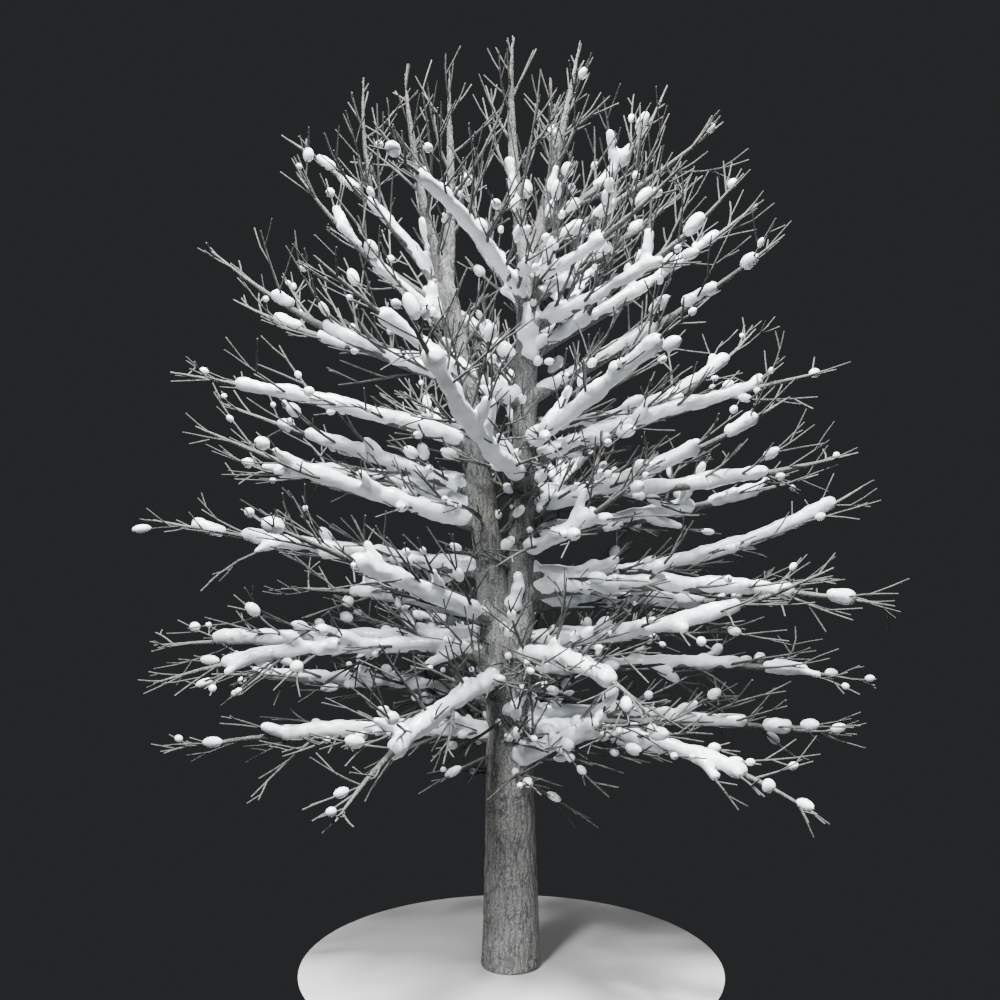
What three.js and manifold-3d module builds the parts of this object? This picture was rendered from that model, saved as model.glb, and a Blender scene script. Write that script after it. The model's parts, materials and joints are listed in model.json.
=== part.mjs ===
// A leafless broadleaf tree in winter: one trunk that forks into two stems,
// the leaders that carry the stems to the top of the crown, and the main boughs.
// Millimetres, +Z up. The origin is the centre of the flat cut at ground level,
// +X is the right of the tree's front view and +Y is its back.

import * as THREE from 'three';
import { mergeVertices } from 'three/addons/utils/BufferGeometryUtils.js';
import Module from 'manifold-3d';

const wasm = await Module();
wasm.setup();

// Driving dimensions.
const FORK_HEIGHT = 3500;
const TRUNK_LEAN = 1.4;
const TRUNK_SIDES = 18;
const STEM_SIDES = 12;
const BOUGH_SIDES = 8;
const RING_SPACING = 470;
const FEWEST_RINGS = 4;
const TWIG_RADIUS = 8;
const BOUGH_GIRTH_START = 12;
const BOUGH_GIRTH_PER_LENGTH = 0.0185;
const BOUGH_TAPER = 0.85;
const WANDER = 0.008;
const GAP = 0.3;
const WELD = 0.001;

// The trunk's radius at each height: a slight root flare, an even taper up to the
// lowest bough, and a swelling below the fork.
const TRUNK_GIRTH = [
  { height: 0, radius: 292 },
  { height: 250, radius: 283 },
  { height: 1300, radius: 252 },
  { height: 2300, radius: 230 },
  { height: 2700, radius: 234 },
  { height: 3100, radius: 260 },
  { height: FORK_HEIGHT, radius: 292 },
];

// Every limb leaves its parent's centreline at a height above the ground. Its bearing
// is seen from above: 0 is right, 90 back, 180 left and 270 front. It sets out at the
// rise, in degrees above level, and the lift is how far its rise has changed at its tip.
const STEMS = {
  left_stem: {
    from: { x: -140, z: 3400 }, bearing: 180, rise: 84, lift: -5, length: 3480,
    radius: 174, end: 90, sides: STEM_SIDES,
  },
  right_stem: {
    from: { x: 84, z: 3400 }, bearing: 0, rise: 88.5, lift: 0, length: 3700,
    radius: 148, end: 100, sides: STEM_SIDES,
  },
};

const LEADERS = {
  left_inner_leader: {
    parent: 'left_stem', height: 6700, bearing: 80, rise: 84, lift: 6, length: 2310, radius: 72,
  },
  left_outer_leader: {
    parent: 'left_stem', height: 6640, bearing: 196, rise: 71, lift: 15, length: 2260, radius: 66,
  },
  right_inner_leader: {
    parent: 'right_stem', height: 6900, bearing: 190, rise: 79, lift: 14, length: 2370, radius: 84,
  },
  right_outer_leader: {
    parent: 'right_stem', height: 6860, bearing: 12, rise: 75, lift: 5, length: 2460, radius: 86,
  },
};

const BOUGHS = {
  trunk: [
    { height: 1950, bearing: 312, rise: 33, lift: -24, length: 1950 },
    { height: 2130, bearing: 85, rise: 9, lift: -12, length: 3300 },
    { height: 2290, bearing: 187, rise: 6, lift: -14, length: 3250 },
    { height: 2330, bearing: 331, rise: 10, lift: -37, length: 3150 },
    { height: 2490, bearing: 357, rise: 0, lift: -6, length: 3380 },
    { height: 2660, bearing: 149, rise: 1, lift: -4, length: 4050 },
    { height: 2740, bearing: 58, rise: 8, lift: -8, length: 3600 },
    { height: 2900, bearing: 241, rise: -2, lift: -28, length: 3000 },
    { height: 2870, bearing: 9, rise: 7, lift: -18, length: 3750 },
    { height: 3050, bearing: 300, rise: 15, lift: -40, length: 2400 },
    { height: 3050, bearing: 112, rise: 6, lift: -6, length: 3500 },
    { height: 3060, bearing: 185, rise: 10, lift: -27, length: 3500 },
    { height: 3210, bearing: 346, rise: 1, lift: 26, length: 3270 },
    { height: 3230, bearing: 165, rise: 0, lift: -5, length: 3950 },
    { height: 3380, bearing: 214, rise: 22, lift: 0, length: 2950 },
    { height: 3380, bearing: 138, rise: 9, lift: -12, length: 3600 },
  ],
  left_stem: [
    { height: 3920, bearing: 179, rise: 6, lift: 5, length: 3440 },
    { height: 4360, bearing: 192, rise: 14, lift: 10, length: 2980 },
    { height: 4480, bearing: 142, rise: 19, lift: -25, length: 3850 },
    { height: 4710, bearing: 167, rise: 16, lift: 5, length: 2960 },
    { height: 4980, bearing: 108, rise: 14, lift: 8, length: 3200 },
    { height: 5180, bearing: 188, rise: 17, lift: -8, length: 3030 },
    { height: 5800, bearing: 180, rise: 15, lift: 25, length: 2880 },
    { height: 5960, bearing: 150, rise: 8, lift: 18, length: 3150 },
    { height: 6320, bearing: 193, rise: 33, lift: 21, length: 2180 },
    { height: 6560, bearing: 170, rise: 59, lift: -27, length: 2550 },
  ],
  right_stem: [
    { height: 3590, bearing: 32, rise: -3, lift: 3, length: 3650 },
    { height: 3710, bearing: 352, rise: 6, lift: -15, length: 3620 },
    { height: 3860, bearing: 7, rise: -3, lift: 35, length: 3820 },
    { height: 4100, bearing: 312, rise: 17, lift: 17, length: 1870 },
    { height: 4240, bearing: 19, rise: 7, lift: 8, length: 3490 },
    { height: 4360, bearing: 74, rise: 12, lift: 8, length: 3500 },
    { height: 4510, bearing: 348, rise: 13, lift: 20, length: 2840 },
    { height: 4680, bearing: 14, rise: 0, lift: 14, length: 3750 },
    { height: 4850, bearing: 250, rise: 12, lift: 24, length: 3200 },
    { height: 4980, bearing: 1, rise: 22, lift: -10, length: 3290 },
    { height: 5170, bearing: 300, rise: 18, lift: 5, length: 2750 },
    { height: 5280, bearing: 98, rise: 20, lift: 14, length: 3100 },
    { height: 5350, bearing: 34, rise: 0, lift: 42, length: 3540 },
    { height: 5580, bearing: 212, rise: 19, lift: 20, length: 2600 },
    { height: 5630, bearing: 350, rise: 25, lift: 13, length: 2970 },
    { height: 5920, bearing: 152, rise: 36, lift: -2, length: 2800 },
    { height: 5980, bearing: 62, rise: 32, lift: 14, length: 2900 },
    { height: 6080, bearing: 14, rise: 27, lift: 13, length: 3010 },
    { height: 6350, bearing: 342, rise: 16, lift: 33, length: 2570 },
    { height: 6480, bearing: 122, rise: 44, lift: -3, length: 2600 },
    { height: 6560, bearing: 240, rise: 34, lift: -24, length: 2600 },
    { height: 6600, bearing: 30, rise: 31, lift: 8, length: 2750 },
    { height: 6830, bearing: 316, rise: 9, lift: 28, length: 2000 },
  ],
  right_outer_leader: [
    { height: 7100, bearing: 345, rise: 26, lift: 12, length: 2200 },
    { height: 7380, bearing: 20, rise: 28, lift: 40, length: 2150 },
  ],
};

const RISER = { height: 7560, bearing: 180, rise: 77, lift: 16, length: 1350, radius: 28 };

// Finishes.
const BARK_ROUGHNESS = 0.95;
const TRUNK_BARK = new THREE.MeshStandardMaterial({ color: 0x8a8880, roughness: BARK_ROUGHNESS });
const STEM_BARK = new THREE.MeshStandardMaterial({ color: 0x848279, roughness: BARK_ROUGHNESS });
const BOUGH_BARK = new THREE.MeshStandardMaterial({ color: 0x7b7870, roughness: BARK_ROUGHNESS });

// The direction a limb points at a share of its length.
function heading(limb, share) {
  const bearing = THREE.MathUtils.degToRad(limb.bearing);
  const rise = THREE.MathUtils.degToRad(limb.rise + limb.lift * share);
  return new THREE.Vector3(
    Math.cos(bearing) * Math.cos(rise),
    Math.sin(bearing) * Math.cos(rise),
    Math.sin(rise),
  );
}

// The level direction square to a limb's bearing.
function sideways(limb) {
  const bearing = THREE.MathUtils.degToRad(limb.bearing);
  return new THREE.Vector3(-Math.sin(bearing), Math.cos(bearing), 0);
}

// A living limb sways a little from side to side as it grows, and not where it starts.
function sway(limb, share) {
  const phase = limb.bearing + limb.height / 100;
  return WANDER * limb.length * share * Math.sin(phase + 2 * Math.PI * share);
}

// Points along a limb's centreline, evenly spaced from its start to its tip.
function centreline(limb) {
  const rings = Math.max(FEWEST_RINGS, Math.round(limb.length / RING_SPACING));
  const point = limb.start.clone();
  const stations = [];
  for (let ring = 0; ring <= rings; ring += 1) {
    const share = ring / rings;
    const swayed = point.clone().addScaledVector(sideways(limb), limb.sways ? sway(limb, share) : 0);
    stations.push({ point: swayed, share });
    point.addScaledVector(heading(limb, share + 0.5 / rings), limb.length / rings);
  }
  return stations;
}

// Where a limb's centreline passes a height.
function pointAtHeight(limb, height) {
  const stations = centreline(limb);
  const after = stations.findIndex((station) => station.point.z >= height);
  const low = stations[after - 1].point;
  const high = stations[after].point;
  return low.clone().lerp(high, (height - low.z) / (high.z - low.z));
}

// A limb's radius at a share of its length: an even taper from its radius to its end.
function taper(limb, share) {
  return limb.end + (limb.radius - limb.end) * (1 - share) ** limb.fade;
}

// The trunk's radius at a share of its height.
function trunkGirth(limb, share) {
  const height = share * limb.length;
  const above = Math.max(1, TRUNK_GIRTH.findIndex((girth) => girth.height >= height));
  const low = TRUNK_GIRTH[above - 1];
  const high = TRUNK_GIRTH[above];
  return THREE.MathUtils.mapLinear(height, low.height, high.height, low.radius, high.radius);
}

// Turns a limb's radii round a straight axis, then bends that axis on to its centreline.
// The grown limb is thicker and longer by the grown width all round.
function limbGeometry(limb, grown) {
  const stations = centreline(limb);
  const last = stations.length - 1;
  const profile = stations.map(({ share }, ring) => new THREE.Vector2(limb.girth(limb, share) + grown, ring));
  profile.unshift(new THREE.Vector2(0, 0));
  profile.push(new THREE.Vector2(0, last));
  const geometry = new THREE.LatheGeometry(profile, limb.sides);
  const position = geometry.getAttribute('position');
  const side = sideways(limb);
  for (let i = 0; i < position.count; i += 1) {
    const ring = Math.round(position.getY(i));
    const along = heading(limb, stations[ring].share);
    const across = new THREE.Vector3().crossVectors(side, along);
    const point = stations[ring].point.clone();
    point.addScaledVector(side, position.getX(i));
    point.addScaledVector(across, position.getZ(i));
    if (ring === 0) point.addScaledVector(along, -grown);
    if (ring === last) point.addScaledVector(along, grown);
    position.setXYZ(i, point.x, point.y, point.z);
  }
  return geometry;
}

// A closed geometry as a solid that can be joined and cut.
function solidOf(geometry) {
  geometry.deleteAttribute('normal');
  geometry.deleteAttribute('uv');
  const welded = mergeVertices(geometry, WELD);
  const corners = welded.getIndex().array;
  const triangles = [];
  for (let i = 0; i < corners.length; i += 3) {
    const [a, b, c] = corners.slice(i, i + 3);
    if (a !== b && b !== c && c !== a) triangles.push(a, b, c);
  }
  return new wasm.Manifold(new wasm.Mesh({
    numProp: 3,
    vertProperties: new Float32Array(welded.getAttribute('position').array),
    triVerts: new Uint32Array(triangles),
  }));
}

// A solid as a named mesh.
function meshOf(solid, name, material) {
  const { vertProperties, triVerts } = solid.getMesh();
  const geometry = new THREE.BufferGeometry();
  geometry.setAttribute('position', new THREE.BufferAttribute(vertProperties, 3));
  geometry.setIndex(new THREE.BufferAttribute(triVerts, 1));
  geometry.computeVertexNormals();
  const mesh = new THREE.Mesh(geometry, material);
  mesh.name = name;
  return mesh;
}

const tree = new THREE.Group();
const limbs = {};
let wood = null;

// Adds one limb, cut back to just clear of all the wood that it grows from.
function addLimb(name, limb, material) {
  limbs[name] = limb;
  const whole = solidOf(limbGeometry(limb, 0));
  const cut = wood ? whole.subtract(wood) : whole;
  tree.add(meshOf(cut, name, material));
  const grown = solidOf(limbGeometry(limb, GAP));
  wood = wood ? wood.add(grown) : grown;
}

// A limb that grows from another, with what it doesn't state worked out from its length.
function branch(parent, size) {
  return {
    start: pointAtHeight(limbs[parent], size.height),
    radius: BOUGH_GIRTH_START + BOUGH_GIRTH_PER_LENGTH * size.length,
    end: TWIG_RADIUS,
    fade: BOUGH_TAPER,
    sides: BOUGH_SIDES,
    girth: taper,
    sways: true,
    ...size,
  };
}

addLimb('trunk', {
  start: new THREE.Vector3(0, 0, 0),
  bearing: 0,
  rise: 90,
  lift: TRUNK_LEAN,
  length: FORK_HEIGHT,
  sides: TRUNK_SIDES,
  girth: trunkGirth,
}, TRUNK_BARK);

for (const [name, stem] of Object.entries(STEMS)) {
  const start = new THREE.Vector3(stem.from.x, 0, stem.from.z);
  addLimb(name, { start, fade: 1, girth: taper, ...stem }, STEM_BARK);
}

for (const [name, leader] of Object.entries(LEADERS)) {
  addLimb(name, branch(leader.parent, leader), STEM_BARK);
}

for (const [parent, boughs] of Object.entries(BOUGHS)) {
  boughs.forEach((bough, i) => {
    addLimb(`${parent}_bough_${i + 1}`, branch(parent, bough), BOUGH_BARK);
  });
}

addLimb('left_riser', branch('left_stem_bough_10', RISER), BOUGH_BARK);

export default tree;
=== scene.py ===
import json
import math
import random

import bmesh
import bpy
import numpy as np
from mathutils import Matrix, Vector, noise

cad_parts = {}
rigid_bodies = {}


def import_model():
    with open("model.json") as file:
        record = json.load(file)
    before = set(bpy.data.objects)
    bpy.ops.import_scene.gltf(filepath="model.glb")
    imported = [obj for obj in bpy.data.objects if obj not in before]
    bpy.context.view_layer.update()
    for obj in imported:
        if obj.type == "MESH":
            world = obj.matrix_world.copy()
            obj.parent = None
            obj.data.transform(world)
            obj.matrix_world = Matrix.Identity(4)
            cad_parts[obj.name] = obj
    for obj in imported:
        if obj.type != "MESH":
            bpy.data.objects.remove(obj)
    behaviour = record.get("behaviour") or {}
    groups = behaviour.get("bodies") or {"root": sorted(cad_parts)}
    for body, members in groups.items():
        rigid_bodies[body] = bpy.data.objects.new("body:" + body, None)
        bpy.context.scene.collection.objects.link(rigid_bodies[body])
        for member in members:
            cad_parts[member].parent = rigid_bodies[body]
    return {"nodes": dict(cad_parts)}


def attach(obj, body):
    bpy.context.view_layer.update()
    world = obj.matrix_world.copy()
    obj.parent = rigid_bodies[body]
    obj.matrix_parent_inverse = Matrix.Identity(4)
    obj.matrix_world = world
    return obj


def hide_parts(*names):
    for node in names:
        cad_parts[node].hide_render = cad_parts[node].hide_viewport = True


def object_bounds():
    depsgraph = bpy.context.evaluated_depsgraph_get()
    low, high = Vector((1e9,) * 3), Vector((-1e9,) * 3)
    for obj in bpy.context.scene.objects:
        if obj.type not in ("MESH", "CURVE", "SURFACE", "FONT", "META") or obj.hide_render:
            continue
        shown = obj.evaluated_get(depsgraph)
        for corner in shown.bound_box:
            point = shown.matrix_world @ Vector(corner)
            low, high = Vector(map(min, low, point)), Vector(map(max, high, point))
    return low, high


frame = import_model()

cad_box = [list(corner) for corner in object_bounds()]
UP = Vector((0, 0, 1))

# ---------------------------------------------------------------- camera
# The camera stands level, half as high as the tree and about one and a third times
# its height away, and looks straight at the front of the crown.
CAMERA_SIDE = -0.11
CAMERA_BACK = 1.303
tree_height = cad_box[1][2]
camera_data = bpy.data.cameras.new("camera")
camera_data.lens = 43.5
camera_data.sensor_width = 36
camera = bpy.data.objects.new("camera", camera_data)
camera.location = (CAMERA_SIDE, -CAMERA_BACK * tree_height, 0.5 * tree_height)
camera.rotation_euler = (math.radians(90), 0, 0)
bpy.context.scene.collection.objects.link(camera)
bpy.context.scene.camera = camera

# ---------------------------------------------------------------- trunk
# The trunk is one thick pole of furrowed bark that swells into the fork and into a
# collar round the foot of each bough. Its centreline and girth are read off the CAD
# trunk, the poles that meet are fused into one skin, and the furrows are cut into it.

# Corners in one ring of a CAD limb, and the least distance between two rings.
SIDES = {"trunk": 18, "left_stem": 12, "right_stem": 12}
BOUGH_SIDES = 8
RING_GAP = 0.1
# A plate of bark: its length and its wandering in plate widths, and a crack's share of it.
PLATE_LENGTH = 8
PLATE_WANDER = 0.9
CRACK_WIDTH = 0.3
# The wandering is drawn from this seed, so that the cracks lie the same way on each run.
noise.seed_set(29)
# The swollen foot of a limb: its girth, and how far it runs out along the limb.
COLLAR_GIRTH = 1.25
COLLAR_REACH = 0.14
# How far the stems run up inside the trunk's skin, and where a limb's flat end narrows.
FORK_REACH = 0.24
CLOSING_RUN = 0.25
CLOSING = 0.35
# The flare at the ground: its share of the girth, and the height over which it fades.
FLARE = 0.035
FLARE_FADE = 0.12
LICHEN = (0.33, 0.32, 0.17)


def ring_clusters(node):
    """The corners of a CAD limb, grouped into the rings that they lie on."""
    mesh = frame["nodes"][node].data
    corners = np.array(sorted({tuple(round(c, 4) for c in v.co) for v in mesh.vertices}))
    middle = corners.mean(0)
    axis = np.linalg.svd(corners - middle, full_matrices=False)[2][0]
    along = (corners - middle) @ axis
    order = np.argsort(along)
    breaks = np.where(np.diff(along[order]) > RING_GAP)[0] + 1
    return [corners[group] for group in np.split(order, breaks)]


def limb_rings(node):
    """Centre and radius of each whole ring of a CAD limb, from its thick end to its tip."""
    sides = SIDES.get(node, BOUGH_SIDES)
    rings = []
    for corners in ring_clusters(node):
        if len(corners) in (sides, sides + 1):
            centre = corners.mean(0)
            radius = np.linalg.norm(corners - centre, axis=1).max()
            rings.append((Vector(centre), float(radius)))
    upside_down = node in SIDES and rings[0][0].z > rings[-1][0].z
    if upside_down or (node not in SIDES and rings[0][1] < rings[-1][1]):
        rings.reverse()
    return rings


def nearest_on(limb, place):
    """How far a place is from a limb's line, and the limb's radius there."""
    near = min(range(len(limb.points)), key=lambda i: (limb.points[i] - place).length)
    return (limb.points[near] - place).length, limb.radii[near]


def with_foot(rings, parent):
    """Carries the rings on backwards for as long as that brings them nearer the parent's line."""
    while True:
        (a, ra), (b, rb), (c, _) = rings[:3]
        further = [(3 * a - 3 * b + c, 2 * ra - rb)] + rings
        gap, radius = nearest_on(parent, further[0][0])
        if gap > nearest_on(parent, a)[0]:
            return rings
        rings = further
        if gap < 0.6 * radius:
            return rings


def smooth_line(rings, step):
    """A smooth line through the rings: points and radii, about one step apart."""
    ends = [(2 * rings[0][0] - rings[1][0], rings[0][1])] + rings
    ends.append((2 * rings[-1][0] - rings[-2][0], rings[-1][1]))
    points, radii = [], []
    for (p0, _), (p1, r1), (p2, r2), (p3, _) in zip(ends, ends[1:], ends[2:], ends[3:]):
        pieces = max(1, round((p2 - p1).length / step))
        for i in range(pieces):
            t = i / pieces
            bend = 2 * p0 - 5 * p1 + 4 * p2 - p3
            turn = 3 * p1 - p0 - 3 * p2 + p3
            points.append(p1 + 0.5 * (t * (p2 - p0) + t * t * bend + t ** 3 * turn))
            radii.append(r1 + (r2 - r1) * t)
    points.append(rings[-1][0].copy())
    radii.append(rings[-1][1])
    return points, radii


class Limb:
    """One limb of the tree: its smooth centreline, its radii and how far along each lies."""

    def __init__(self, name, parent, rings, step=0.04):
        self.name = name
        self.parent = parent
        self.points, self.radii = smooth_line(rings, step)
        self.along = [0.0]
        for a, b in zip(self.points, self.points[1:]):
            self.along.append(self.along[-1] + (b - a).length)
        self.length = self.along[-1]

    def at(self, distance):
        """Point, direction and radius at a distance along the limb."""
        i = int(np.searchsorted(self.along, distance)) - 1
        i = min(max(i, 0), len(self.points) - 2)
        a, b = self.points[i], self.points[i + 1]
        t = (distance - self.along[i]) / max(1e-6, self.along[i + 1] - self.along[i])
        radius = self.radii[i] + (self.radii[i + 1] - self.radii[i]) * t
        return a.lerp(b, t), (b - a).normalized(), radius

    def clear(self):
        """How far along the limb it comes out of its parent's bark."""
        if self.parent is None:
            return 0.0
        for point, along in zip(self.points, self.along):
            gap, radius = nearest_on(self.parent, point)
            if gap > radius:
                return along
        return self.length


def new_tubes(name, sides):
    """A curve whose splines are solid round tubes: a point's radius is in metres."""
    curve = bpy.data.curves.new(name, "CURVE")
    curve.dimensions = "3D"
    curve.bevel_depth = 1
    curve.bevel_resolution = (sides - 4) // 2
    curve.use_fill_caps = True
    return curve


def add_tube(curve, points, radii):
    spline = curve.splines.new("POLY")
    spline.points.add(len(points) - 1)
    spline.points.foreach_set("co", [c for p in points for c in (p.x, p.y, p.z, 1)])
    spline.points.foreach_set("radius", radii)


def baked(data, name, modifiers=()):
    """Makes a mesh of a curve or a mesh with the given modifiers applied."""
    holder = bpy.data.objects.new(name, data)
    bpy.context.scene.collection.objects.link(holder)
    for kind, settings in modifiers:
        modifier = holder.modifiers.new(kind, kind)
        for key, value in settings.items():
            setattr(modifier, key, value)
    graph = bpy.context.evaluated_depsgraph_get()
    mesh = bpy.data.meshes.new_from_object(holder.evaluated_get(graph))
    bpy.data.objects.remove(holder)
    return mesh


def fused(curve, name, voxel, rounds):
    """One skin round all the tubes of a curve, with its joins smoothed."""
    tubes = baked(curve, name)
    remesh = ("REMESH", {"mode": "VOXEL", "voxel_size": voxel, "use_smooth_shade": True})
    smooth = ("SMOOTH", {"factor": 0.5, "iterations": rounds})
    return baked(tubes, name, [remesh, smooth])


def furrow_depth(place, plate):
    """How deep the bark is cracked at a place, from 0 on a plate to 1 in a furrow."""
    wandering = place + noise.noise_vector(place * 0.3 / plate) * plate * PLATE_WANDER
    length = PLATE_LENGTH * plate
    cell = Vector((wandering.x / plate, wandering.y / plate, wandering.z / length))
    nearest, second = noise.voronoi(cell)[0][:2]
    crack = max(0.0, 1 - (second - nearest) / CRACK_WIDTH)
    worn = min(1, max(0.2, 0.65 + 0.5 * noise.noise(place * 5)))
    return crack * worn


def cut_bark(mesh, plate, depth, turn=Matrix.Identity(4)):
    """Presses the furrows into a mesh and gives back how deep each point lies."""
    depths = []
    for vertex, normal in zip(mesh.vertices, [v.normal.copy() for v in mesh.vertices]):
        place = turn @ vertex.co
        crack = furrow_depth(place, plate)
        grain, swell = noise.noise(place * 60), noise.noise(place * 4)
        rough = 0.15 * grain + 0.4 * swell
        vertex.co += normal * depth * (0.2 - crack + rough)
        depths.append(crack)
    return depths


def keep_depths(mesh, depths):
    layer = mesh.attributes.new("furrow", "FLOAT", "POINT")
    layer.data.foreach_set("value", depths)


def place_piece(mesh, name, material, nodes=()):
    """Puts a finished mesh in the tree, in place of the CAD nodes that it stands for."""
    mesh.name = name
    mesh.materials.clear()
    mesh.materials.append(material)
    mesh.polygons.foreach_set("use_smooth", [True] * len(mesh.polygons))
    piece = bpy.data.objects.new(name, mesh)
    bpy.context.scene.collection.objects.link(piece)
    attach(piece, "root")
    if nodes:
        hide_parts(*nodes)


def bark_finish(name, tone, furrow_gap, furrow_length, grain, relief_depth=0.005, contrast=1):
    """Dry grey bark: pale plates, upright furrows darkened partly in their own colour and partly
    with painted shade, a fine grain and a bloom of lichen.
    """
    material = bpy.data.materials.new(name)
    material.use_nodes = True
    nodes, links = material.node_tree.nodes, material.node_tree.links
    shader = nodes["Principled BSDF"]
    place = nodes.new("ShaderNodeTexCoord").outputs["Object"]

    def cloud(scale, detail, source=place):
        texture = nodes.new("ShaderNodeTexNoise")
        texture.inputs["Scale"].default_value = scale
        texture.inputs["Detail"].default_value = detail
        texture.inputs["Roughness"].default_value = 0.65
        links.new(source, texture.inputs["Vector"])
        return texture.outputs

    def ranged(source, low, high, to_low, to_high):
        node = nodes.new("ShaderNodeMapRange")
        for socket, value in zip(list(node.inputs)[1:5], (low, high, to_low, to_high)):
            socket.default_value = value
        links.new(source, node.inputs["Value"])
        return node.outputs["Result"]

    def times(first, second):
        node = nodes.new("ShaderNodeMath")
        node.operation = "MULTIPLY"
        links.new(first, node.inputs[0])
        links.new(second, node.inputs[1])
        return node.outputs["Value"]

    def tinted(base, colour, share):
        node = nodes.new("ShaderNodeMix")
        node.data_type = "RGBA"
        for socket, value in zip((node.inputs["A"], node.inputs["B"]), (base, colour)):
            if isinstance(value, tuple):
                socket.default_value = (*value, 1)
            else:
                links.new(value, socket)
        links.new(share, node.inputs["Factor"])
        return node.outputs["Result"]

    wander = nodes.new("ShaderNodeVectorMath")
    wander.operation = "MULTIPLY_ADD"
    links.new(cloud(0.3 / furrow_gap, 3)["Color"], wander.inputs[0])
    wander.inputs[1].default_value = [2.2 * furrow_gap] * 3
    links.new(place, wander.inputs[2])
    upright = nodes.new("ShaderNodeMapping")
    upright.inputs["Scale"].default_value = (1 / furrow_gap, 1 / furrow_gap, 1 / furrow_length)
    links.new(wander.outputs["Vector"], upright.inputs["Vector"])
    plates = nodes.new("ShaderNodeTexVoronoi")
    plates.feature = "DISTANCE_TO_EDGE"
    plates.inputs["Scale"].default_value = 1
    links.new(upright.outputs["Vector"], plates.inputs["Vector"])
    # The crack lines are painted dark. This is partly the bark's own darker cracks and partly
    # painted shade in the grooves that the bump cuts there.
    lines = ranged(plates.outputs["Distance"], 0.015, 0.12, 1, 0)
    worn = ranged(cloud(6, 5)["Fac"], 0.38, 0.6, 0.35, 0.8)
    cracks = times(lines, worn)
    # Painted shade: the bark is painted darker where its furrows were pressed deep into the mesh.
    # On twigs this attribute holds random noise and paints dark blotches instead.
    furrow = nodes.new("ShaderNodeAttribute")
    furrow.attribute_name = "furrow"
    painted_furrow_shade_and_twig_blotches = ranged(furrow.outputs["Fac"], 0.2, 1, 0, 0.3)

    dark = tuple(c * (1 - 0.48 * contrast) for c in tone)
    pale = tuple(c * (1 + 0.55 * contrast) for c in tone)
    # The colour of the cracks and furrows: the bark's own dark in its cracks, plus painted shade
    # in the cracks and the pressed-in furrows.
    crack_dark_and_painted_shade = tuple(c * 0.2 for c in tone)
    speckled = tinted(dark, pale, ranged(cloud(grain, 10)["Fac"], 0.4, 0.6, 0, 1))
    patched = tinted(speckled, tone, ranged(cloud(9, 5)["Fac"], 0.4, 0.6, 0.05, 0.5))
    bloomed = tinted(patched, LICHEN, ranged(cloud(3.3, 5)["Fac"], 0.56, 0.74, 0, 0.35))
    colour = tinted(tinted(bloomed, crack_dark_and_painted_shade, cracks), crack_dark_and_painted_shade, painted_furrow_shade_and_twig_blotches)
    links.new(colour, shader.inputs["Base Color"])
    relief = nodes.new("ShaderNodeMath")
    relief.operation = "SUBTRACT"
    links.new(cloud(grain, 6)["Fac"], relief.inputs[0])
    links.new(cracks, relief.inputs[1])
    bump = nodes.new("ShaderNodeBump")
    bump.inputs["Strength"].default_value = 0.8
    bump.inputs["Distance"].default_value = relief_depth
    links.new(relief.outputs["Value"], bump.inputs["Height"])
    links.new(bump.outputs["Normal"], shader.inputs["Normal"])
    shader.inputs["Roughness"].default_value = 0.92
    shader.inputs["Specular IOR Level"].default_value = 0.25
    return material


STEMS = ["left_stem", "right_stem"]
LEADERS = {
    "left_inner_leader": "left_stem",
    "left_outer_leader": "left_stem",
    "right_inner_leader": "right_stem",
    "right_outer_leader": "right_stem",
}
trunk = Limb("trunk", None, limb_rings("trunk"))
limbs = {"trunk": trunk}


def add_limb(name, parent):
    limbs[name] = Limb(name, limbs[parent], with_foot(limb_rings(name), limbs[parent]))


for stem in STEMS:
    add_limb(stem, "trunk")
for leader, stem in LEADERS.items():
    add_limb(leader, stem)
for parent in ("trunk", *STEMS, "right_outer_leader"):
    names = [n for n in frame["nodes"] if n.startswith(parent + "_bough_")]
    for name in sorted(names, key=lambda n: int(n.rsplit("_", 1)[1])):
        add_limb(name, parent)
add_limb("left_riser", "left_stem_bough_10")
boughs = [limb for name, limb in limbs.items() if "_bough_" in name or name == "left_riser"]


def add_collars(curve, parent):
    """The swollen foot of each limb that grows from a parent."""
    for limb in limbs.values():
        if limb.parent is not parent or limb.name in (*STEMS, *LEADERS):
            continue
        clear = limb.clear()
        points, radii = [], []
        for share in (0.35, 0.6, 0.85, 1.0, 1.15, 1.3):
            reach = clear * share if share <= 1 else clear + COLLAR_REACH * (share - 1) / 0.3
            point, _, radius = limb.at(min(reach, limb.length))
            points.append(point)
            radii.append(radius * (COLLAR_GIRTH - 0.8 * max(0, share - 1)))
        add_tube(curve, points, radii)


def closed_top(limb):
    """A limb's radii, drawn in over the last stretch: its flat end is hidden in the fork."""
    narrowing = [max(0, (along - limb.length) / CLOSING_RUN + 1) ** 2 for along in limb.along]
    return [radius * (1 - CLOSING * share) for radius, share in zip(limb.radii, narrowing)]


trunk_tubes = new_tubes("trunk_tubes", sides=32)
foot_flare = [1 + FLARE * math.exp(-along / FLARE_FADE) for along in trunk.along]
trunk_radii = [radius * flare for radius, flare in zip(closed_top(trunk), foot_flare)]
add_tube(trunk_tubes, trunk.points, trunk_radii)
for stem in STEMS:
    points, radii = [], []
    for point, radius in zip(limbs[stem].points, limbs[stem].radii):
        above = point.z - trunk.length
        if above < FORK_REACH:
            points.append(point)
            radii.append(radius * (1.03 - 0.09 * max(0, above) / FORK_REACH))
    add_tube(trunk_tubes, points, radii)
add_collars(trunk_tubes, trunk)
trunk_mesh = fused(trunk_tubes, "trunk_skin", voxel=0.0103, rounds=5)
keep_depths(trunk_mesh, cut_bark(trunk_mesh, plate=0.045, depth=0.009))
for vertex in trunk_mesh.vertices:
    vertex.co.z = max(0, vertex.co.z)
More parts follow.
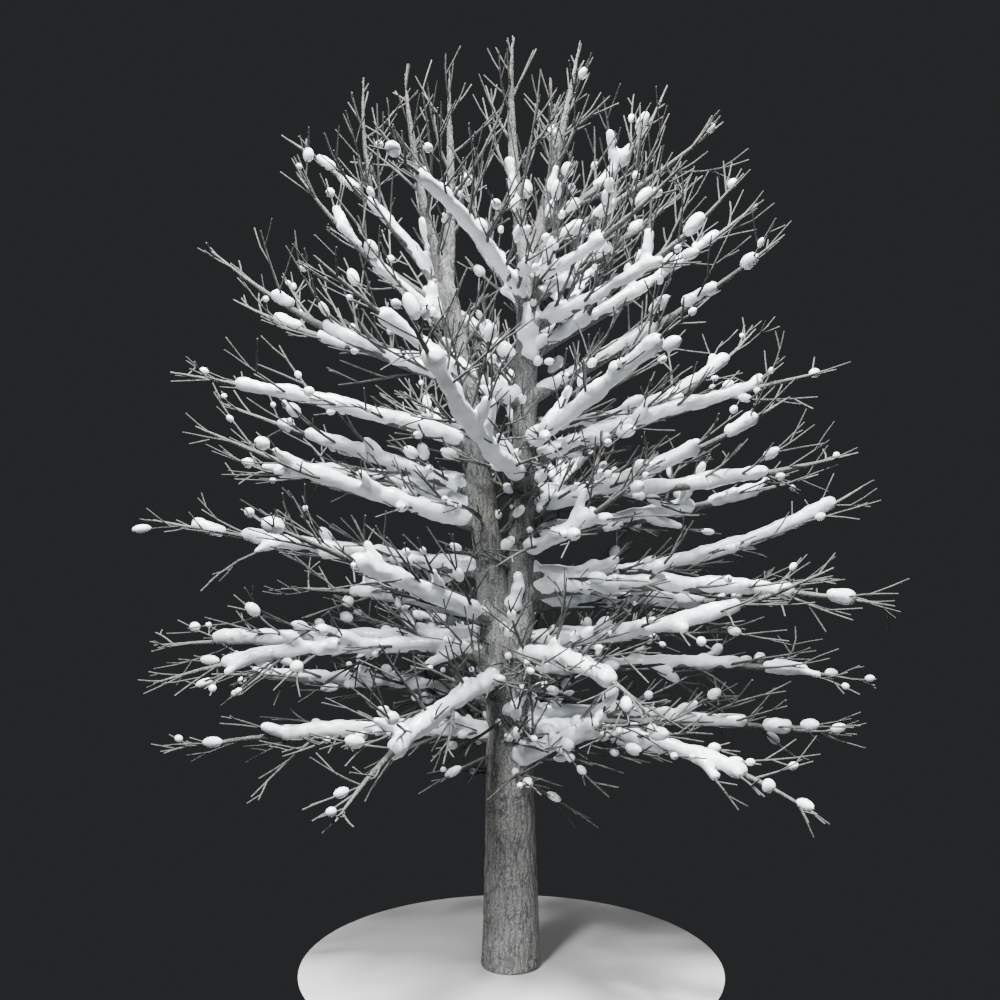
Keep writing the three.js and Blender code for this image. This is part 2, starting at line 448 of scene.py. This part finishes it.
trunk_bark = bark_finish(
    "trunk_bark", tone=(0.18, 0.183, 0.179), furrow_gap=0.05, furrow_length=0.42, grain=48)
place_piece(trunk_mesh, "furrowed_trunk", trunk_bark, ["trunk"])

# ---------------------------------------------------------------- stems and leaders
# Above the fork two stems climb through the crown, and each ends in two upright
# leaders. They are fused with the feet of their boughs like the trunk, in finer bark.
stem_bark = bark_finish(
    "stem_bark", tone=(0.125, 0.127, 0.125), furrow_gap=0.045, furrow_length=0.36, grain=55,
    relief_depth=0.007)
for stem in STEMS:
    members = [stem] + [leader for leader, foot in LEADERS.items() if foot == stem]
    stem_tubes = new_tubes("stem_tubes", sides=24)
    for name in members:
        radii = closed_top(limbs[name]) if name == stem else limbs[name].radii
        add_tube(stem_tubes, limbs[name].points, radii)
        add_collars(stem_tubes, limbs[name])
    stem_mesh = fused(stem_tubes, "stem_skin", voxel=0.0112, rounds=3)
    keep_depths(stem_mesh, cut_bark(stem_mesh, plate=0.04, depth=0.007))
    place_piece(stem_mesh, stem + "_and_leaders", stem_bark, members)

# ---------------------------------------------------------------- boughs
# Each bough is one long tapering limb with finely cracked bark that runs along it.
# The bark of every bough is cut lying along its own line. They are joined into two
# pieces, the lower and the upper boughs.
UPPER_BOUGHS = 4.9


def bough_mesh(limb):
    curve = new_tubes(limb.name, sides=12)
    clear = limb.clear() * 0.8
    start = next(i for i, along in enumerate(limb.along) if along >= clear)
    add_tube(curve, limb.points[start:], limb.radii[start:])
    mesh = baked(curve, limb.name)
    chord = limb.points[-1] - limb.points[0]
    turn = chord.to_track_quat("Z", "Y").inverted().to_matrix().to_4x4()
    return mesh, cut_bark(mesh, plate=0.02, depth=0.005, turn=turn)


def join_boughs(members, name, material):
    whole = bmesh.new()
    depths = []
    for limb in members:
        mesh, cracks = bough_mesh(limb)
        whole.from_mesh(mesh)
        depths += cracks
    joined = bpy.data.meshes.new(name)
    whole.to_mesh(joined)
    whole.free()
    keep_depths(joined, depths)
    place_piece(joined, name, material, [limb.name for limb in members])


bough_bark = bark_finish(
    "bough_bark", tone=(0.11, 0.113, 0.111), furrow_gap=0.024, furrow_length=0.06, grain=80)
low_boughs = [limb for limb in boughs if limb.points[0].z < UPPER_BOUGHS]
high_boughs = [limb for limb in boughs if limb.points[0].z >= UPPER_BOUGHS]
join_boughs(low_boughs, "lower_boughs", bough_bark)
join_boughs(high_boughs, "upper_boughs", bough_bark)

# ---------------------------------------------------------------- side branches and twigs
# Every limb is set with side branches that alternate left and right, each of them with
# straight blunt twigs that point forward, and boughs and leaders end in a few more. All
# are thin tubes in dark bark that turn up high in the crown, each kind joined in one piece.
growth = random.Random(411)
# Heights: the lowest twig, the lowest shoot on the trunk and the lowest of the high boughs.
LOWEST_TWIG = 1.25
LOWEST_SHOOT = 1.85
HIGH_BOUGH = 6.0
# Twigs droop below one height and turn up to the sky above the other.
DROOP_BELOW = 2.5
TURN_UP_ABOVE = 4.2
# How far twigs may pass the limbs sideways, and how fast the crown's dome falls outwards.
REACH_MARGIN = Vector((0.06, 0.06, 0))
DOME_FALL = 0.2
# A bough that runs forwards or back for more than this share of its length is a deep one.
DEEP_SHARE = 0.66
# The radius of a twig's blunt end, and how much its line curls and kinks.
TWIG_END = 0.0072
CURL = 0.055
KINK = 0.028
# A side branch's radius as a share of its limb's, with the least and the most it may be.
BRANCH_GIRTH = 0.42
THIN_BRANCH, THICK_BRANCH = 0.0115, 0.021
THICK_TWIG, THICK_FAN_TWIG, THICK_SHORT_TWIG = 0.011, 0.0095, 0.009
# How often a twig carries a shorter one.
SHORT_TWIG_CHANCE = 0.22
low_corner = Vector(cad_box[0]) - REACH_MARGIN
high_corner = Vector(cad_box[1]) + REACH_MARGIN


def inside_crown(point):
    """Whether a place is under the dome of the crown and above its lowest twigs."""
    within = all(low_corner[k] < point[k] < high_corner[k] for k in range(2))
    dome = high_corner.z - DOME_FALL * (point.x ** 2 + point.y ** 2)
    return within and LOWEST_TWIG < point.z < dome


def turned(direction, spread, roll):
    """A direction that leaves another by the spread, on the side that the roll from up gives."""
    side = direction.cross(UP)
    side = side.normalized() if side.length > 0.05 else Vector((1, 0, 0))
    top = side.cross(direction).normalized()
    out = top * math.cos(roll) + side * math.sin(roll)
    return (direction * math.cos(spread) + out * math.sin(spread)).normalized()


def upturn(height):
    """How much a twig turns up over each metre: the lowest droop, the highest rise to the sky."""
    share = min(1, max(0, (height - TURN_UP_ABOVE) / 4.2))
    return 0.06 + 0.95 * share ** 1.5 - 0.35 * max(0, DROOP_BELOW - height)


def grow_shoot(start, direction, length, radius, pieces):
    """One shoot: a gently curved line of short straight pieces, blunt at its end."""
    points, radii = [start.copy()], [radius]
    heading = direction.copy()
    step = length / pieces
    curl = Vector([growth.gauss(0, CURL) for _ in range(3)])
    for i in range(pieces):
        kink = Vector([growth.gauss(0, KINK) for _ in range(3)])
        heading = (heading + curl + kink + UP * upturn(points[-1].z) * step).normalized()
        leaves = not inside_crown(points[-1] + heading * step)
        points.append(points[-1] + heading * step * (0.3 if leaves else 1))
        radii.append(TWIG_END + (radius - TWIG_END) * (1 - (i + 1) / pieces))
        if leaves:
            break
    radii[-1] = TWIG_END
    return points, radii


def shoot_length(shoot):
    return sum((b - a).length for a, b in zip(shoot[0], shoot[0][1:]))


def shoot_at(points, radii, share):
    """Point, direction and radius at a share of a shoot's length."""
    at = share * (len(points) - 1)
    i = min(int(at), len(points) - 2)
    a, b = points[i], points[i + 1]
    radius = radii[i] + (radii[i + 1] - radii[i]) * (at - i)
    return a.lerp(b, at - i), (b - a).normalized(), radius


def side_twigs(shoot, count, shortest, longest, thickest):
    """The twigs of a shoot, alternating on its two sides and pointing forward."""
    side = growth.choice((-1, 1))
    grown = []
    for k in range(count):
        share = 0.14 + 0.68 * (k + growth.uniform(0.1, 0.9)) / count
        point, direction, radius = shoot_at(*shoot, share)
        roll = side * math.radians(growth.gauss(80, 36))
        heading = turned(direction, math.radians(growth.uniform(24, 44)), roll)
        length = growth.uniform(shortest, longest) * (1.1 - 0.4 * share)
        grown.append(grow_shoot(point, heading, length, min(radius * 0.85, thickest), 2))
        side = -side
    return grown


def limb_branches(limb, spacing, longest, spread, sideways=(80, 36)):
    """The side branches of a limb, from where it leaves its parent to near its tip."""
    at = limb.clear() + 0.1
    side = growth.choice((-1, 1))
    grown = []
    while at < limb.length - 0.1:
        point, direction, radius = limb.at(at)
        roll = side * math.radians(growth.gauss(*sideways))
        heading = turned(direction, math.radians(growth.uniform(*spread)), roll)
        room = min(longest, 0.26 + (limb.length - at) * 0.85)
        length = room * growth.uniform(0.5, 1)
        thick = min(max(radius * BRANCH_GIRTH, THIN_BRANCH), THICK_BRANCH)
        shoot = grow_shoot(point, heading, length, thick, 4)
        grown.append({"shoot": shoot, "limb": limb, "at": at})
        sparser = 0.85 + 0.9 * (at / limb.length) ** 3
        at += growth.uniform(0.55, 1.45) * spacing * sparser
        side = -side
    return grown


def tip_fan(limb):
    """The few twigs that spread from the last stretch of a bough."""
    grown = []
    for _ in range(growth.randint(1, 3)):
        at = limb.length - growth.uniform(0.06, 0.42)
        point, direction, _ = limb.at(at)
        roll = growth.uniform(0, 2 * math.pi)
        heading = turned(direction, math.radians(growth.uniform(12, 36)), roll)
        length = 0.16 + (limb.length - at) * growth.uniform(0.5, 1)
        grown.append(grow_shoot(point, heading, length, THICK_FAN_TWIG, 2))
    return grown


branches = []
fans = []
for limb in boughs:
    wider_with_height = 0.1 + 0.034 * limb.points[0].z
    branches += limb_branches(limb, wider_with_height, longest=1.05, spread=(28, 48))
    if limb.points[0].z > HIGH_BOUGH:
        branches += limb_branches(limb, 0.9, longest=1.3, spread=(40, 66), sideways=(0, 30))
    if abs(limb.points[-1].y - limb.points[0].y) > DEEP_SHARE * limb.length:
        branches += limb_branches(limb, 0.5, longest=1.15, spread=(35, 70), sideways=(0, 60))
    fans += tip_fan(limb)
for name in LEADERS:
    branches += limb_branches(limbs[name], 0.2, longest=1.4, spread=(22, 58))
    fans += tip_fan(limbs[name])
for name in STEMS:
    branches += limb_branches(limbs[name], 0.13, longest=0.85, spread=(40, 75), sideways=(60, 70))
for branch in limb_branches(trunk, 0.026, longest=1.35, spread=(48, 112), sideways=(50, 60)):
    if branch["at"] > LOWEST_SHOOT:
        branches.append(branch)
twigs = []
for branch in branches:
    reach = shoot_length(branch["shoot"])
    outer = branch["at"] / branch["limb"].length
    count = round(reach * (1.25 - 0.8 * outer) / growth.uniform(0.16, 0.28))
    twigs += side_twigs(branch["shoot"], count, 0.2, 0.24 + 0.36 * reach, THICK_TWIG)
short_twigs = []
for twig in twigs:
    if growth.random() < SHORT_TWIG_CHANCE:
        short_twigs += side_twigs(twig, 1, 0.1, 0.24, THICK_SHORT_TWIG)
twigs += fans

twig_bark = bark_finish(
    "twig_bark", tone=(0.071, 0.075, 0.074), furrow_gap=0.03, furrow_length=0.06, grain=60,
    relief_depth=0.001, contrast=0.6)


def twigs_piece(shoots, name, sides):
    curve = new_tubes(name, sides)
    for points, radii in shoots:
        add_tube(curve, points, radii)
    mesh = baked(curve, name)
    keep_depths(mesh, [max(0, noise.noise(v.co * 40)) * 0.6 for v in mesh.vertices])
    place_piece(mesh, name, twig_bark)


twigs_piece([branch["shoot"] for branch in branches], "side_branches", sides=6)
twigs_piece(twigs, "twigs", sides=6)
twigs_piece(short_twigs, "short_twigs", sides=4)

# ---------------------------------------------------------------- snow on the boughs
# White, faintly glossy snow lies along every bough as a soft lumpy roll, thick at the stem
# and thin further out, with stubs along the side branches and patches up the stem. The rolls
# are tubes fused into three masses by height, and the patches on uprights into a fourth.
drift = random.Random(77)
# Where each roll starts and ends, as shares of its bough's length. A bough that isn't
# listed carries the usual one.
SNOW_RUNS = {
    "trunk_bough_1": [(0.1, 0.7)],
    "trunk_bough_4": [(0.05, 0.78), (0.83, 0.87)],
    "trunk_bough_5": [(0.05, 0.7), (0.74, 0.83)],
    "trunk_bough_6": [(0.05, 0.8)],
    "trunk_bough_8": [(0.05, 0.7)],
    "trunk_bough_9": [(0.05, 0.65), (0.71, 0.84)],
    "trunk_bough_10": [(0.11, 0.76)],
    "trunk_bough_12": [(0.05, 0.81)],
    "trunk_bough_13": [(0.05, 0.72)],
    "trunk_bough_14": [(0.05, 0.82)],
    "trunk_bough_15": [(0.08, 0.64), (0.88, 0.96)],
    "trunk_bough_16": [(0.07, 0.66)],
    "left_stem_bough_1": [(0.03, 0.74), (0.78, 0.89)],
    "left_stem_bough_3": [(0.03, 0.82)],
    "left_stem_bough_4": [(0.03, 0.67), (0.71, 0.78)],
    "left_stem_bough_6": [(0.03, 0.8)],
    "left_stem_bough_7": [(0.03, 0.54), (0.65, 0.75)],
    "left_stem_bough_8": [(0.03, 0.6), (0.67, 0.8)],
    "left_stem_bough_9": [(0.05, 0.52), (0.56, 0.72)],
    "left_stem_bough_10": [(0.08, 0.56), (0.6, 0.7), (0.73, 0.83)],
    "right_stem_bough_1": [(0.03, 0.65)],
    "right_stem_bough_2": [(0.03, 0.74), (0.82, 0.9)],
    "right_stem_bough_3": [(0.03, 0.9)],
    "right_stem_bough_4": [(0.06, 0.6)],
    "right_stem_bough_5": [(0.03, 0.57), (0.61, 0.79)],
    "right_stem_bough_7": [(0.04, 0.66), (0.75, 0.88)],
    "right_stem_bough_8": [(0.03, 0.72)],
    "right_stem_bough_9": [(0.04, 0.83)],
    "right_stem_bough_10": [(0.04, 0.72)],
    "right_stem_bough_11": [(0.05, 0.87)],
    "right_stem_bough_13": [(0.03, 0.84)],
    "right_stem_bough_15": [(0.04, 0.5), (0.6, 0.74), (0.83, 0.9)],
    "right_stem_bough_16": [(0.05, 0.5)],
    "right_stem_bough_18": [(0.04, 0.82)],
    "right_stem_bough_19": [(0.05, 0.52), (0.69, 0.8)],
    "right_stem_bough_20": [(0.05, 0.5)],
    "right_stem_bough_21": [(0.05, 0.84)],
    "right_stem_bough_22": [(0.05, 0.45), (0.55, 0.63)],
    "right_stem_bough_23": [(0.06, 0.52)],
    "right_outer_leader_bough_1": [(0.05, 0.26), (0.3, 0.44)],
    "right_outer_leader_bough_2": [(0.05, 0.24), (0.34, 0.56)],
    "left_riser": [],
}
USUAL_RUN = [(0.05, 0.7)]
FRONT = Vector((0, -1, 0))
LEFT = Vector((-1, 0, 0))
RIGHT = Vector((1, 0, 0))
# Each patch: its limb, its foot along the limb, its height, its side and its thickness.
UPRIGHT_PATCHES = [
    ("trunk", 2.52, 0.24, FRONT, 0.07),
    ("right_stem", 0.1, 0.42, FRONT + LEFT * 0.5, 0.09),
    ("right_stem", 2.62, 0.62, FRONT, 0.115),
    ("right_inner_leader", 0.6, 0.56, FRONT + LEFT, 0.075),
    ("right_outer_leader", 0.85, 0.3, FRONT + RIGHT, 0.06),
    ("left_outer_leader", 0.5, 0.34, LEFT, 0.06),
    ("left_inner_leader", 0.8, 0.26, FRONT, 0.05),
]
# Radii of a roll at the foot and at the tip of a bough, and of a stub at both its ends.
ROLL_FOOT = 0.087
ROLL_TIP = 0.057
STUB_FOOT = 0.08
STUB_END = 0.044
ROLL_STEP = 0.04
# The snow thins out over this height, and side branches hold less of it from there up.
THINNING_HEIGHT = 4.6
# A roll is a little thicker this far before its end.
KNOB_PLACE, KNOB_LENGTH = 0.1, 0.09
PATCH_CHANCE = 0.3


def roll_radius(share, seed, along):
    lumps = 0.3 * noise.noise(seed + Vector((along * 3.6, 0, 0)))
    lumps += 0.14 * noise.noise(seed + Vector((along * 9, 7, 0)))
    return (ROLL_TIP + (ROLL_FOOT - ROLL_TIP) * (1 - share)) * (1 + lumps)


def rounded(distance, radius):
    """What is left of a roll's radius at a distance from its round end."""
    inside = min(1, max(0, distance / radius))
    return radius * math.sqrt(1 - (1 - inside) ** 2)


def roll_on(curve, limb, start, end):
    """One roll of snow on a limb, between two distances along it."""
    seed = Vector((drift.uniform(0, 50), drift.uniform(0, 50), 0))
    high_up = min(1, max(0, (limb.points[0].z - THINNING_HEIGHT) / 2))
    girth = min(1, max(0.82, limb.length / 2.5)) * (1.08 - 0.28 * high_up)
    steps = max(6, round((end - start) / ROLL_STEP))
    points, radii = [], []
    for i in range(steps + 1):
        along = start + (end - start) * (0.5 - 0.5 * math.cos(math.pi * i / steps))
        point, direction, _ = limb.at(along)
        side = direction.cross(UP).normalized()
        top = side.cross(direction).normalized()
        wrapped = min(1, max(0, -1.6 * direction.y))
        knob = math.exp(-((end - along - KNOB_PLACE) / KNOB_LENGTH) ** 2)
        swell = 1 + 0.1 * wrapped + (0.08 + 0.24 * wrapped) * knob
        radius = roll_radius(along / limb.length, seed, along) * girth * swell
        sway = 0.35 * radius * noise.noise(seed + Vector((along * 3, 0, 9)))
        sit = 0.4 + 0.35 * noise.noise(seed + Vector((along * 2, 4, 0)))
        sit *= radius * (1 - 0.8 * wrapped)
        points.append(point + top * sit + side * sway)
        radii.append(max(0.002, rounded(min(along - start, end - along), radius)))
    add_tube(curve, points, radii)


def stub_on(curve, shoot, length, radius):
    """A tapering stub of snow along the foot of a side branch, melting into the roll."""
    share = min(0.95, length / shoot_length(shoot))
    points, radii = [], []
    seed = Vector((drift.uniform(0, 50), 0, 0))
    for i in range(15):
        at = 1 - (1 - i / 14) ** 1.6
        point, _, _ = shoot_at(*shoot, share * at)
        lumps = 1 + 0.5 * noise.noise(seed + UP * length * at * 7)
        thick = (radius + (STUB_END - radius) * at) * lumps
        points.append(point + UP * thick * 0.5)
        radii.append(max(0.002, rounded(length * (1 - at), thick)))
    add_tube(curve, points, radii)


def patch_on(curve, limb, foot, height, out, girth):
    """A patch of snow plastered up the side of an upright limb, tapering as it climbs."""
    points, radii = [], []
    for i in range(17):
        share = 0.5 - 0.5 * math.cos(math.pi * i / 16)
        middle, _, bark = limb.at(min(limb.length, foot + height * share))
        lumps = 1 + 0.7 * noise.noise(middle * 9)
        radius = rounded(height * min(share, 1 - share), girth * lumps * (1 - 0.45 * share))
        wander = out.cross(UP) * 0.9 * noise.noise(middle * 3.5 + UP * 5)
        points.append(middle + (out + wander).normalized() * (bark - 0.3 * girth * (1 - share)))
        radii.append(max(0.002, radius))
    add_tube(curve, points, radii)


def patch_above(curve, limb):
    """The patch that climbs the stem over the foot of a bough."""
    point, direction, _ = limb.at(limb.clear())
    gap = [(p - point).length for p in limb.parent.points]
    foot = limb.parent.along[gap.index(min(gap))] - 0.05
    out = Vector((direction.x, direction.y, 0)).normalized()
    patch_on(curve, limb.parent, foot, drift.uniform(0.16, 0.28), out, drift.uniform(0.075, 0.095))


def stub_chance(limb):
    """How often a side branch holds a stub of snow: less often on the steep upper boughs."""
    return 0.4 if limb.points[0].z < THINNING_HEIGHT else 0.22


def settle(mesh):
    """Lets the face of the snow swell and sink in soft lumps."""
    for vertex, normal in zip(mesh.vertices, [v.normal.copy() for v in mesh.vertices]):
        place = vertex.co.copy()
        vertex.co += normal * (0.014 * noise.noise(place * 6.5) + 0.007 * noise.noise(place * 17))


def snow_mass(name, members, material):
    curve = new_tubes(name, sides=12)
    for limb in members:
        runs = SNOW_RUNS.get(limb.name, USUAL_RUN)
        for start, end in runs:
            roll_on(curve, limb, start * limb.length, end * limb.length)
        if runs and drift.random() < PATCH_CHANCE:
            patch_above(curve, limb)
        for branch in branches:
            share = branch["at"] / limb.length
            covered = any(start + 0.03 < share < end for start, end in runs)
            if branch["limb"] is limb and covered and drift.random() < stub_chance(limb):
                branch["snowed"] = drift.uniform(0.14, 0.5) * (1.1 - 0.5 * share)
                stub_on(curve, branch["shoot"], branch["snowed"], STUB_FOOT - 0.03 * share)
    mesh = fused(curve, name, voxel=0.021, rounds=4)
    settle(mesh)
    place_piece(mesh, name, material)


def snow_finish():
    """Settled snow: white with a faint cool cast, softly uneven and a little glossy."""
    material = bpy.data.materials.new("settled_snow")
    material.use_nodes = True
    nodes, links = material.node_tree.nodes, material.node_tree.links
    shader = nodes["Principled BSDF"]
    place = nodes.new("ShaderNodeTexCoord")
    drifts = nodes.new("ShaderNodeTexNoise")
    drifts.inputs["Scale"].default_value = 5
    drifts.inputs["Detail"].default_value = 3
    tint = nodes.new("ShaderNodeValToRGB")
    tint.color_ramp.elements[0].position = 0.3
    tint.color_ramp.elements[0].color = (0.57, 0.62, 0.66, 1)
    tint.color_ramp.elements[1].position = 0.65
    tint.color_ramp.elements[1].color = (0.78, 0.81, 0.83, 1)
    grains = nodes.new("ShaderNodeTexNoise")
    grains.inputs["Scale"].default_value = 40
    grains.inputs["Detail"].default_value = 4
    bump = nodes.new("ShaderNodeBump")
    bump.inputs["Strength"].default_value = 0.12
    bump.inputs["Distance"].default_value = 0.004
    links.new(place.outputs["Object"], drifts.inputs["Vector"])
    links.new(place.outputs["Object"], grains.inputs["Vector"])
    links.new(drifts.outputs["Fac"], tint.inputs["Fac"])
    links.new(tint.outputs["Color"], shader.inputs["Base Color"])
    links.new(grains.outputs["Fac"], bump.inputs["Height"])
    links.new(bump.outputs["Normal"], shader.inputs["Normal"])
    shader.inputs["Roughness"].default_value = 0.34
    shader.inputs["Specular IOR Level"].default_value = 0.42
    shader.inputs["Coat Weight"].default_value = 0.6
    shader.inputs["Coat Roughness"].default_value = 0.18
    return material


snow = snow_finish()
upright_snow = new_tubes("snow_on_uprights", sides=12)
for upright, foot, height, out, girth in UPRIGHT_PATCHES:
    patch_on(upright_snow, limbs[upright], foot, height, out.normalized(), girth)
upright_mesh = fused(upright_snow, "snow_on_uprights", voxel=0.014, rounds=4)
settle(upright_mesh)
place_piece(upright_mesh, "snow_on_uprights", snow)
by_height = sorted(boughs, key=lambda limb: limb.points[0].z)
third = len(by_height) // 3
snow_mass("snow_on_lower_boughs", by_height[:third], snow)
snow_mass("snow_on_middle_boughs", by_height[third:2 * third], snow)
snow_mass("snow_on_upper_boughs", by_height[2 * third:], snow)

# ---------------------------------------------------------------- balls of snow
# Further out, the same snow clings to the forks of thin branches in balls and long eggs,
# each a short tube with rounded ends. They are joined into one piece.
BALL_RINGS = 6
# The least and the most radius of a ball on a side branch and on a twig.
BRANCH_BALL = (0.03, 0.068)
TWIG_BALL = (0.024, 0.045)
# How often a side branch holds a ball at the foot of its limb, how much less often at the
# tip, and how often a twig does. Shoots on the trunk count as close to the foot.
FOOT_CHANCE = 0.62
TIP_LOSS = 0.46
TWIG_CHANCE = 0.075
TRUNK_SHARE = 0.1
# Below the first height balls are more common, and above the second they are rare.
MANY_BELOW, FEW_ABOVE = 2.7, 7.2


def add_ball(curve, centre, direction, length, radius):
    points, radii = [], []
    for i in range(BALL_RINGS + 1):
        x = -math.cos(math.pi * i / BALL_RINGS)
        points.append(centre + direction * length * 0.5 * x)
        radii.append(max(0.001, radius * math.sqrt(1 - x * x)))
    add_tube(curve, points, radii)


def ball_chance(point, low_down):
    """How often a fork holds a ball of snow: often among the boughs, seldom near the top."""
    return low_down * (1.6 if point.z < MANY_BELOW else 1 if point.z < FEW_ABOVE else 0.4)


ball_tubes = new_tubes("snow_balls", sides=10)
for branch in branches:
    reach = shoot_length(branch["shoot"])
    bare_from = min(0.9, (branch.get("snowed", 0) + 0.12) / reach)
    far_out = TRUNK_SHARE if branch["limb"] is trunk else branch["at"] / branch["limb"].length
    chance = ball_chance(branch["shoot"][0][0], FOOT_CHANCE - TIP_LOSS * far_out)
    if bare_from < 0.8 and drift.random() < chance:
        point, direction, _ = shoot_at(*branch["shoot"], drift.uniform(bare_from, 0.85))
        radius = drift.uniform(*BRANCH_BALL)
        length = radius * drift.uniform(2, 4.4)
        add_ball(ball_tubes, point + UP * radius * 0.3, direction, length, radius)
for twig in twigs:
    if drift.random() < ball_chance(twig[0][0], TWIG_CHANCE):
        point, direction, _ = shoot_at(*twig, drift.uniform(0.2, 0.7))
        radius = drift.uniform(*TWIG_BALL)
        length = radius * drift.uniform(2, 2.8)
        add_ball(ball_tubes, point + UP * radius * 0.3, direction, length, radius)
place_piece(baked(ball_tubes, "snow_balls"), "snow_balls", snow)

# ---------------------------------------------------------------- floor and light
# A plain pale round floor, and four large soft lamps in front of the tree, above it and
# behind it. None of them is part of the tree.
floor_mesh = bpy.data.meshes.new("floor")
floor_build = bmesh.new()
bmesh.ops.create_circle(floor_build, cap_ends=True, segments=128, radius=2.1)
floor_build.to_mesh(floor_mesh)
floor_build.free()
floor = bpy.data.objects.new("floor", floor_mesh)
bpy.context.scene.collection.objects.link(floor)
floor_paint = bpy.data.materials.new("floor_paint")
floor_paint.use_nodes = True
floor_shader = floor_paint.node_tree.nodes["Principled BSDF"]
floor_shader.inputs["Base Color"].default_value = (0.33, 0.33, 0.33, 1)
floor_shader.inputs["Roughness"].default_value = 0.9
floor_mesh.materials.append(floor_paint)


def soft_lamp(name, place, target, size, power):
    data = bpy.data.lights.new(name, "AREA")
    data.shape = "DISK"
    data.size = size
    data.energy = power
    lamp = bpy.data.objects.new(name, data)
    lamp.location = place
    lamp.rotation_euler = (Vector(target) - Vector(place)).to_track_quat("-Z", "Y").to_euler()
    bpy.context.scene.collection.objects.link(lamp)


CROWN_MIDDLE = (0, 0, 5)
soft_lamp("key", (-8, -15, 22), CROWN_MIDDLE, size=4, power=12300)
soft_lamp("top", (0, -4, 26), CROWN_MIDDLE, size=5, power=50000)
soft_lamp("fill", (4.5, -12, 4), (0, 0, 4), size=8, power=330)
soft_lamp("back", (4, 13, 9), CROWN_MIDDLE, size=7, power=750)
world = bpy.data.worlds.new("studio")
world.use_nodes = True
world.node_tree.nodes["Background"].inputs["Color"].default_value = (0.0235, 0.0252, 0.0262, 1)
bpy.context.scene.world = world
